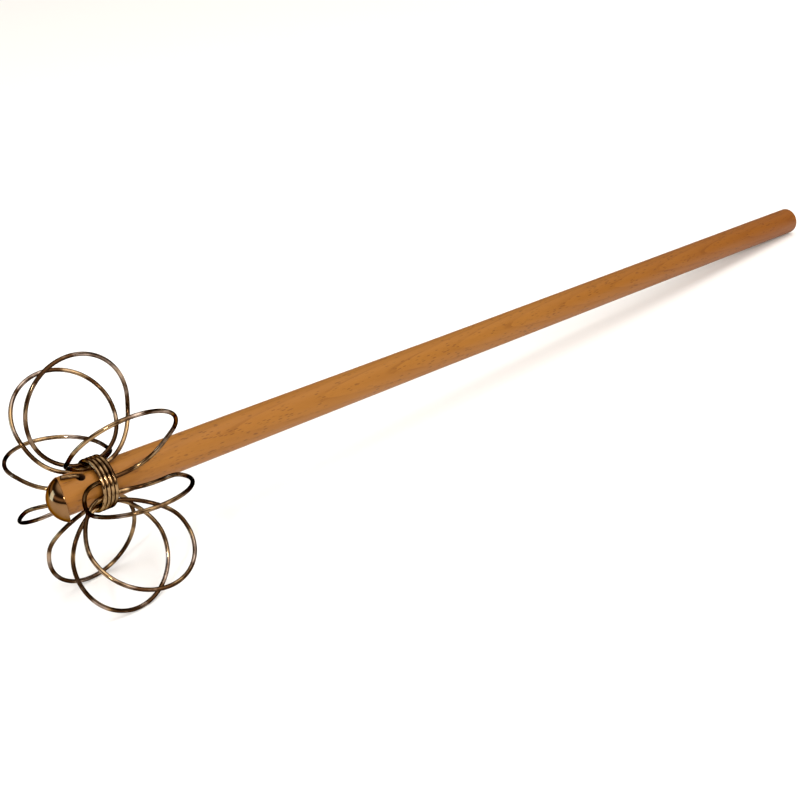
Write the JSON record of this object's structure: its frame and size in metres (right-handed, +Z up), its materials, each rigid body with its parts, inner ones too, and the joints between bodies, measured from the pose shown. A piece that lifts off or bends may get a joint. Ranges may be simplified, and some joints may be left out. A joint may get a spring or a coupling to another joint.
{
  "type": "glaze whisk",
  "caption": "Hand whisk for clay slip and glaze: a round beech stick with a flower of wire loops bound to its capped end, for stirring and beating.",
  "frame": {"origin": "on the table under the middle of the tool's box, with the tool lying on its two lowest loops and the bottom edge of the stick's plain end", "axes": "+X from the whisk end to the plain end of the stick, +Z up; the stick slopes down towards +X by 5.0 degrees"},
  "size_m": [0.6293, 0.127, 0.1277],
  "materials": {
    "beech": "satin, sanded beech with fine flecks along the grain",
    "plated_wire": "bright nickel-plated spring wire with light handling wear",
    "cap_steel": "polished plated dome",
    "nail_steel": "plain drawn steel"
  },
  "bodies": {
    "root": {"handle": "beech", "end_cap": "cap_steel", "cap_nail": "nail_steel", "wire_start": "plated_wire", "wire_loop_1": "plated_wire", "wire_loop_2": "plated_wire", "wire_loop_3": "plated_wire", "wire_loop_4": "plated_wire", "wire_loop_5": "plated_wire", "wire_loop_6": "plated_wire", "wire_loop_7": "plated_wire", "wire_loop_8": "plated_wire", "wire_loop_9": "plated_wire", "binding_wire": "plated_wire"}
  },
  "joints": []
}
